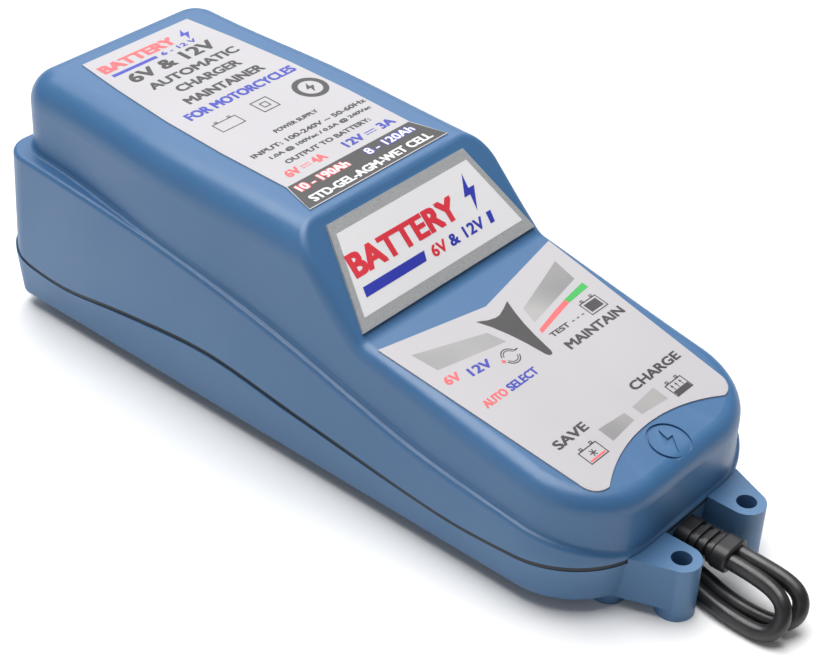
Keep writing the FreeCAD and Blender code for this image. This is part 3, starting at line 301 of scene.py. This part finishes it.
def board_mask(name):
    """Solder mask over copper tracks."""
    finish = Finish(name, Coat_Weight=0.3)
    tracks = finish.add("ShaderNodeTexBrick")
    tracks.inputs["Scale"].default_value = 160
    tracks.inputs["Mortar Size"].default_value = 0.06
    finish.link(finish.place, tracks.inputs["Vector"])
    finish.colour(finish.blend(tracks.outputs["Fac"], (0.012, 0.10, 0.035), (0.03, 0.18, 0.07)))
    finish.roughness(finish.span(finish.noise(300, 2), 0.25, 0.4))
    finish.bump(tracks.outputs["Fac"], 0.3, 0.00003)
    return finish.material


# The third blue is the paler colour painted on convex case edges as a highlight.
BLUE_DEEP, BLUE_PALE, BLUE_EDGE_HIGHLIGHT = (0.042, 0.128, 0.272), (0.050, 0.142, 0.298), (0.10, 0.21, 0.37)
BASE_DEEP, BASE_PALE = (0.055, 0.145, 0.288), (0.064, 0.158, 0.308)

finishes = {
    "case_blue": moulded("case_blue", BLUE_DEEP, BLUE_PALE, (0.34, 0.42), edge_highlight=BLUE_EDGE_HIGHLIGHT),
    "base_blue": moulded("base_blue", BASE_DEEP, BASE_PALE, (0.38, 0.47), edge_highlight=BLUE_EDGE_HIGHLIGHT),
    "gasket_rubber": moulded("gasket_rubber", (0.012, 0.018, 0.026), (0.022, 0.03, 0.042), (0.5, 0.65)),
    "label_film": film("white_film", (0.435, 0.425, 0.445), (0.46, 0.45, 0.47), (0.38, 0.48)),
    "badge_film": silver_film("badge_film"),
    "overlay_film": film("overlay_film", (0.435, 0.42, 0.44), (0.46, 0.445, 0.465), (0.38, 0.48)),
    "clear_lens": smoked_window("clear_lens"),
    "led_body": clear("led_body", (0.9, 0.85, 0.6)),
    "circuit_board": board_mask("circuit_board"),
    "insulator": moulded("insulator", (0.62, 0.58, 0.47), (0.72, 0.68, 0.57), (0.7, 0.85)),
    "steel_screw": metal("steel_screw", (0.62, 0.62, 0.63), (0.45, 0.45, 0.46), (0.25, 0.4)),
    "ferrite": moulded("ferrite", (0.03, 0.03, 0.032), (0.055, 0.055, 0.055), (0.6, 0.8)),
    "copper_winding": metal("copper_winding", (0.62, 0.25, 0.10), (0.38, 0.13, 0.05), (0.2, 0.35),
                            (1, 1, 12), 300),
    "capacitor_sleeve": moulded("capacitor_sleeve", (0.012, 0.016, 0.035), (0.02, 0.026, 0.05), (0.25, 0.35)),
    "component_black": moulded("component_black", (0.012, 0.012, 0.012), (0.025, 0.025, 0.025), (0.45, 0.6)),
    "component_yellow": moulded("component_yellow", (0.62, 0.42, 0.05), (0.72, 0.5, 0.07), (0.35, 0.5)),
    "varistor_blue": moulded("varistor_blue", (0.03, 0.13, 0.34), (0.04, 0.17, 0.42), (0.2, 0.35)),
    "sink_aluminium": metal("sink_aluminium", (0.68, 0.69, 0.70), (0.5, 0.51, 0.52), (0.3, 0.45), (1, 14, 1)),
    "fuse_glass": clear("fuse_glass", (0.9, 0.93, 0.93)),
    "clip_metal": metal("clip_metal", (0.68, 0.6, 0.36), (0.5, 0.42, 0.22), (0.25, 0.4)),
    "terminal_green": moulded("terminal_green", (0.03, 0.22, 0.08), (0.04, 0.28, 0.1), (0.35, 0.5)),
    "wire_insulation": moulded("wire_insulation", (0.3, 0.02, 0.015), (0.4, 0.03, 0.02), (0.3, 0.45)),
    "cord_rubber": cord_jacket("cord_rubber"),
    "grip_rubber": moulded("grip_rubber", (0.010, 0.010, 0.011), (0.02, 0.02, 0.021), (0.38, 0.5)),
    "tie_plastic": strap("tie_plastic"),
    "plug_plastic": moulded("plug_plastic", (0.011, 0.011, 0.012), (0.02, 0.02, 0.021), (0.42, 0.55),
                            1200, 0.00008),
    "pin_metal": metal("pin_metal", (0.78, 0.76, 0.72), (0.66, 0.64, 0.6), (0.12, 0.25), (1, 9, 1)),
}
for entry in frame["record"]["subparts"]:
    cad_node = nodes[entry["node"]]
    cad_node.data.materials.clear()
    cad_node.data.materials.append(finishes[entry["material_slot"]])

mains_points = MAINS_ROUTE + hank(MAINS_RUNS, *MAINS_FOLDS) + MAINS_TAIL
lead_points = LEAD_ROUTE + hank(LEAD_RUNS, *LEAD_FOLDS) + LEAD_TAIL
mains = make_cord("mains_flex", mains_points, finishes["cord_rubber"])
lead = make_cord("battery_flex", lead_points, finishes["cord_rubber"])
for piece, cad_names, start, length, end, extras in (
        (mains, ("mains_cord", "mains_hank", "mains_tail"), MAINS_ROUTE[0], 1.66, "plug",
         ("mains_plug", "plug_pins", "mains_tie", "cord_grip")),
        (lead, ("battery_lead", "lead_hank", "lead_tail"), LEAD_ROUTE[0], 1.2, "connector",
         ("lead_connector", "connector_contacts", "lead_tie"))):
    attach(piece, "root")
    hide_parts(*cad_names)


# ---------------------------------------------------------------- print on the labels
def label_face(name):
    """A point on a label's upper face, and the face's normal, from the label's largest flat area."""
    mesh = nodes[name].data
    areas = {}
    for polygon in mesh.polygons:
        if polygon.normal.z > 0.3:
            key = tuple(round(v, 2) for v in polygon.normal)
            areas.setdefault(key, []).append(polygon)
    flat = max(areas.values(), key=lambda group: sum(p.area for p in group))
    normal = max(flat, key=lambda p: p.area).normal.copy()
    centre = max(flat, key=lambda p: p.center.dot(normal)).center.copy()
    return centre, normal


def on_face(face, x, y, lift):
    """The point over (x, y), in millimetres, on a label's face, raised by lift along its normal."""
    centre, normal = face
    here = Vector((x * MM, y * MM, 0))
    here.z = centre.z - (normal.x * (here.x - centre.x) + normal.y * (here.y - centre.y)) / normal.z
    return here + normal * lift * MM


def filled(outlines):
    """A flat curve filled inside its outlines; an outline within another is a hole."""
    shape = bpy.data.curves.new("print", "CURVE")
    shape.dimensions, shape.fill_mode, shape.extrude = "2D", "BOTH", 0.5
    for points in outlines:
        spline = shape.splines.new("POLY")
        spline.points.add(len(points) - 1)
        spline.use_cyclic_u = True
        for control, (x, y) in zip(spline.points, points):
            control.co = (x, y, 0, 1)
    return flat_mesh(shape)


def flat_mesh(shape):
    item = bpy.data.objects.new("print", shape)
    mesh = bpy.data.meshes.new_from_object(item)
    bpy.data.objects.remove(item)
    return mesh


STEP = 0.06  # how much higher each strike of a letter lies, so that no two faces share a plane
STRIKES = ((0, 0), (0, 1), (1, 0.5), (2, 0), (2, 1))  # how far right and up each strike is moved


def words(text, x, y, width, height, bold=0.06, turn=0.0):
    """Lettering whose box starts at (x, y), struck several times a little apart; turn is in degrees."""
    shape = bpy.data.curves.new("print", "FONT")
    shape.body, shape.extrude, shape.resolution_u = text, 0.5, 3
    single = flat_mesh(shape)
    places = [vertex.co.copy() for vertex in single.vertices]
    low = [min(p[axis] for p in places) for axis in (0, 1)]
    high = [max(p[axis] for p in places) for axis in (0, 1)]
    spread = bold * height
    along_x, along_y = (width - 2 * spread) / (high[0] - low[0]), (height - spread) / (high[1] - low[1])
    cosine, sine = math.cos(math.radians(turn)), math.sin(math.radians(turn))
    struck = []
    for layer, (right, up) in enumerate(STRIKES):
        copy = single.copy()
        for vertex, place in zip(copy.vertices, places):
            along = (place.x - low[0]) * along_x + right * spread
            above = (place.y - low[1]) * along_y + up * spread
            raised = place.z + layer * STEP if place.z > 0 else place.z
            vertex.co = (x + along * cosine - above * sine, y + along * sine + above * cosine, raised)
        struck.append(copy)
    bpy.data.meshes.remove(single)
    return struck


def ink(name, label, shapes, finish, top=0.03):
    """One printed colour on a label: thin flat shapes just proud of its face."""
    face = label_face(label)
    joined = bmesh.new()
    for shape in shapes:
        for mesh in shape if isinstance(shape, list) else [shape]:
            joined.from_mesh(mesh)
            bpy.data.meshes.remove(mesh)
    for vertex in joined.verts:
        lift = top + (vertex.co.z - 0.5) * 0.1 if vertex.co.z > 0 else -0.02
        vertex.co = on_face(face, vertex.co.x, vertex.co.y, lift)
    mesh = bpy.data.meshes.new(name)
    joined.to_mesh(mesh)
    joined.free()
    mesh.materials.append(finish)
    piece = add_object(name, mesh)
    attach(piece, "root")


def circle(x, y, radius, start=0, stop=360):
    """Points 10 degrees apart on a circle, or on a part of one."""
    steps = int((stop - start) / 10)
    count = steps if stop - start == 360 else steps + 1
    angles = [math.radians(start + (stop - start) * n / steps) for n in range(count)]
    return [(x + radius * math.cos(a), y + radius * math.sin(a)) for a in angles]


def arc_band(x, y, radius, width, start, stop):
    return filled([circle(x, y, radius, start, stop) + circle(x, y, radius - width, start, stop)[::-1]])


def stroke(points, width):
    """A line of even width through points."""
    left, right = [], []
    for index, (x, y) in enumerate(points):
        x0, y0 = points[max(0, index - 1)]
        x1, y1 = points[min(len(points) - 1, index + 1)]
        size = math.hypot(x1 - x0, y1 - y0)
        nx, ny = -(y1 - y0) / size * width / 2, (x1 - x0) / size * width / 2
        left.append((x + nx, y + ny))
        right.append((x - nx, y - ny))
    return filled([left + right[::-1]])


def rectangle(x0, y0, x1, y1):
    return [(x0, y0), (x1, y0), (x1, y1), (x0, y1)]


def frame_of(x0, y0, x1, y1, width):
    """A rectangle drawn as a line of the given width."""
    return filled([rectangle(x0, y0, x1, y1), rectangle(x0 + width, y0 + width, x1 - width, y1 - width)])


def bar(x0, y0, x1, y1):
    return filled([rectangle(x0, y0, x1, y1)])


def battery_sign(x0, y0, x1, y1):
    """A battery's outline with its two terminals."""
    signs = [frame_of(x0, y0, x1, y1, 0.3)]
    for along in (0.16, 0.72):
        left = x0 + along * (x1 - x0)
        signs.append(frame_of(left, y1 - 0.05, left + 1.0, y1 + 0.75, 0.25))
    return signs


def bolt(x, y, size):
    """A lightning bolt, size high."""
    outline = [(0.12, 0.5), (-0.34, -0.06), (-0.04, -0.06), (-0.14, -0.5), (0.34, 0.1), (0.04, 0.1)]
    return filled([[(x + a * size, y + b * size) for a, b in outline]])


black_ink = film("black_ink", (0.035, 0.033, 0.034), (0.05, 0.047, 0.047))
red_ink = film("red_ink", (0.62, 0.03, 0.05), (0.70, 0.045, 0.065))
pale_red_ink = film("pale_red_ink", (0.68, 0.10, 0.11), (0.74, 0.13, 0.14))
blue_ink = film("blue_ink", (0.025, 0.035, 0.36), (0.035, 0.05, 0.42))
green_ink = film("green_ink", (0.03, 0.36, 0.06), (0.04, 0.42, 0.08))
white_ink = film("white_ink", (0.72, 0.71, 0.725), (0.75, 0.74, 0.75), (0.3, 0.4))

# The long label on the deck. Words are placed by their left end and foot, then their width and height.
LONG = "rating_label"
ink("deck_band", LONG, [filled([[(-22.0, 14.9), (-25.0, 4.9), (25.0, 4.9), (22.0, 14.9)]])], black_ink, 0.02)
ink("deck_black", LONG, [
    words("6V & 12V", -15.0, 75.0, 29.6, 4.5),
    words("AUTOMATIC", -14.0, 69.3, 31.0, 3.2),
    words("CHARGER", -9.6, 63.9, 22.0, 3.2),
    words("MAINTAINER", -12.2, 58.0, 27.2, 3.2),
    frame_of(-1.2, 42.6, 4.6, 48.2, 0.35), frame_of(0.5, 44.2, 2.9, 46.6, 0.35),
    *battery_sign(-15.6, 42.8, -7.6, 47.0),
    filled([circle(16.4, 43.5, 4.9), circle(16.4, 43.5, 3.3)]), bolt(16.4, 43.5, 4.6),
    words("POWER SUPPLY", -6.2, 33.7, 15.4, 1.5),
    words("INPUT: 100-240V ~ 50-60Hz", -18.8, 29.0, 40.6, 1.7),
    words("1.0A @ 100Vac / 0.5A @ 240Vac", -15.8, 25.6, 36.2, 1.7),
    words("OUTPUT TO BATTERY:", -14.4, 21.8, 30.2, 1.7),
], black_ink)
ink("deck_red", LONG, [words("BATTERY", -17.6, 83.4, 25.6, 3.9, 0.09), words("6V", -18.6, 17.2, 4.6, 2.9),
                       words("4A", -9.4, 17.2, 4.4, 2.9), bar(-13.2, 18.9, -10.2, 19.2),
                       *[bar(-13.2 + n * 1.1, 18.0, -12.4 + n * 1.1, 18.3) for n in range(3)]], pale_red_ink)
ink("deck_blue", LONG, [bolt(12.2, 85.4, 5.4), bar(-16.9, 80.9, -1.6, 82.1),
                        words("6 - 12 V", 0.0, 80.7, 12.4, 1.7),
                        words("FOR MOTORCYCLES", -17.6, 52.0, 38.2, 3.3), words("12V", 1.8, 16.9, 6.8, 2.9),
                        words("3A", 14.6, 16.9, 5.2, 2.9), bar(9.6, 18.6, 13.2, 18.9),
                        *[bar(9.6 + n * 1.3, 17.7, 10.6 + n * 1.3, 18.0) for n in range(3)]], blue_ink)
ink("band_red", LONG, [words("10 - 190Ah", -21.2, 10.9, 17.8, 3.1, 0.13)], pale_red_ink, 0.035)
ink("band_blue", LONG, [words("8 - 120Ah", 3.0, 10.9, 17.6, 3.1, 0.13)], blue_ink, 0.035)
ink("band_white", LONG, [words("10 - 190Ah", -21.0, 11.1, 17.4, 2.7, 0.04),
                         words("8 - 120Ah", 3.2, 11.1, 17.2, 2.7, 0.04),
                         words("STD-GEL-AGM-WET CELL", -21.8, 5.9, 43.2, 2.8)], white_ink, 0.05)

# The badge on the slope.
BADGE = "badge_label"
ink("badge_white", BADGE, [filled([[(-23.8, -2.7), (-29.6, -17.2), (29.6, -17.2), (23.8, -2.7)]])],
    white_ink, 0.03)
ink("badge_red", BADGE, [words("BATTERY", -25.6, -11.0, 38.4, 4.4, 0.09), words("6V", -1.6, -14.8, 5.4, 2.2)],
    red_ink, 0.06)
ink("badge_blue", BADGE, [
    bolt(19.2, -8.0, 7.2), words("& 12V", 5.0, -14.8, 13.0, 2.2),
    filled([[(-25.4, -12.7), (-3.4, -12.7), (-4.4, -14.5), (-26.0, -14.5)]]),
    filled([[(20.2, -12.6), (22.0, -12.6), (21.4, -14.8), (19.8, -14.8)]]),
], blue_ink, 0.06)

# The panel's overlay.
PANEL = "control_overlay"
arrow = [(-6.2, -31.9), (-3.4, -33.3), (-1.2, -33.9), (0.3, -33.9), (3.0, -33.0), (5.8, -31.8), (4.2, -35.6),
         (2.9, -39.6), (1.9, -43.8), (0.9, -49.4), (0.3, -50.2), (-0.5, -50.2), (-1.1, -49.4), (-2.0, -44.0),
         (-3.0, -39.8), (-4.4, -35.6)]
snow = []
for spoke in (0, 60, 120):
    along, up = 1.1 * math.cos(math.radians(spoke)), 1.1 * math.sin(math.radians(spoke))
    snow.append(stroke([(-17.6 - along, -76.0 - up), (-17.6 + along, -76.0 + up)], 0.28))
ink("panel_black", PANEL, [
    filled([arrow]), words("TEST", 4.9, -46.9, 7.0, 1.5), words("MAINTAIN", 5.2, -52.2, 22.0, 2.6),
    *[bar(13.2 + n * 1.9, -46.4, 14.1 + n * 1.9, -46.1) for n in range(3)],
    *battery_sign(19.2, -48.0, 25.7, -43.6), bar(20.1, -47.2, 24.8, -44.4),
    words("CHARGE", 6.4, -70.4, 19.0, 2.6),
    *battery_sign(13.3, -78.0, 19.7, -73.8), bar(13.7, -77.7, 19.3, -76.3),
    *[stroke([(14.9 + n * 1.6, -76.2), (14.9 + n * 1.6, -74.8)], 0.22) for n in range(3)],
    *[filled([[(14.5 + n * 1.6, -75.2), (15.3 + n * 1.6, -75.2), (14.9 + n * 1.6, -74.4)]])
      for n in range(3)],
    words("SAVE", -23.4, -70.8, 11.4, 2.6), *battery_sign(-20.9, -78.2, -14.3, -74.0), *snow,
    arc_band(-8.5, -44.5, 2.5, 0.3, 20, 160), arc_band(-8.5, -44.5, 1.9, 0.25, 20, 160),
    arc_band(-8.5, -44.5, 2.5, 0.3, 200, 340), arc_band(-8.5, -44.5, 1.9, 0.25, 200, 340),
    bar(-6.5, -44.0, -5.1, -43.6),
], black_ink)
ink("panel_red", PANEL, [
    words("6V", -28.0, -41.8, 4.7, 2.6, turn=-7), words("AUTO", -26.3, -52.2, 8.0, 2.3),
    filled([[(3.9, -44.3), (12.2, -42.7), (18.1, -41.6), (17.7, -40.2), (12.0, -41.3), (4.3, -43.0)]]),
    bar(-12.0, -44.9, -10.6, -44.55), bar(-11.5, -45.4, -11.1, -44.0), bar(-20.3, -77.7, -14.9, -77.2),
], pale_red_ink)
ink("panel_blue", PANEL, [
    words("12V", -21.0, -43.4, 7.0, 2.6, turn=-5), words("SELECT", -17.4, -52.2, 10.4, 2.3),
], blue_ink)
ink("panel_green", PANEL, [filled([[(18.1, -41.6), (26.7, -40.9), (26.6, -39.0), (17.7, -40.2)]])], green_ink)


# ---------------------------------------------------------------- floor and light
FLOOR_REACH = 6
LIT_POINT = Vector((0, 0, 0.03))


def make_floor():
    finish = Finish("floor", Roughness=0.9)
    finish.colour(finish.blend(finish.span(finish.noise(3, 2), 0, 1), (0.90, 0.90, 0.90), (0.92, 0.92, 0.92)))
    mesh = bpy.data.meshes.new("floor")
    corners = rectangle(-FLOOR_REACH, -FLOOR_REACH, FLOOR_REACH, FLOOR_REACH)
    mesh.from_pydata([(x, y, 0) for x, y in corners], [], [(0, 1, 2, 3)])
    mesh.materials.append(finish.material)
    add_object("floor", mesh)


def softbox(name, place, size, power):
    """A rectangular light, in metres and watts, that faces the object."""
    data = bpy.data.lights.new(name, "AREA")
    data.shape, data.size, data.size_y, data.energy = "RECTANGLE", size[0], size[1], power
    item = add_object(name, data)
    item.location = place
    item.rotation_euler = (LIT_POINT - Vector(place)).to_track_quat("-Z", "Y").to_euler()


make_floor()
softbox("back_softbox", (0.9, 0.8, 0.75), (1.4, 0.9), 5)
softbox("left_softbox", (-1.1, 0.1, 0.35), (1.2, 0.5), 1.8)
softbox("top_softbox", (0.1, 0.25, 1.3), (1.2, 1.2), 29)
world = bpy.data.worlds.new("studio")
world.use_nodes = True
background = world.node_tree.nodes["Background"]
background.inputs["Color"].default_value = (1, 1, 1, 1)
background.inputs["Strength"].default_value = 0.15
scene.world = world
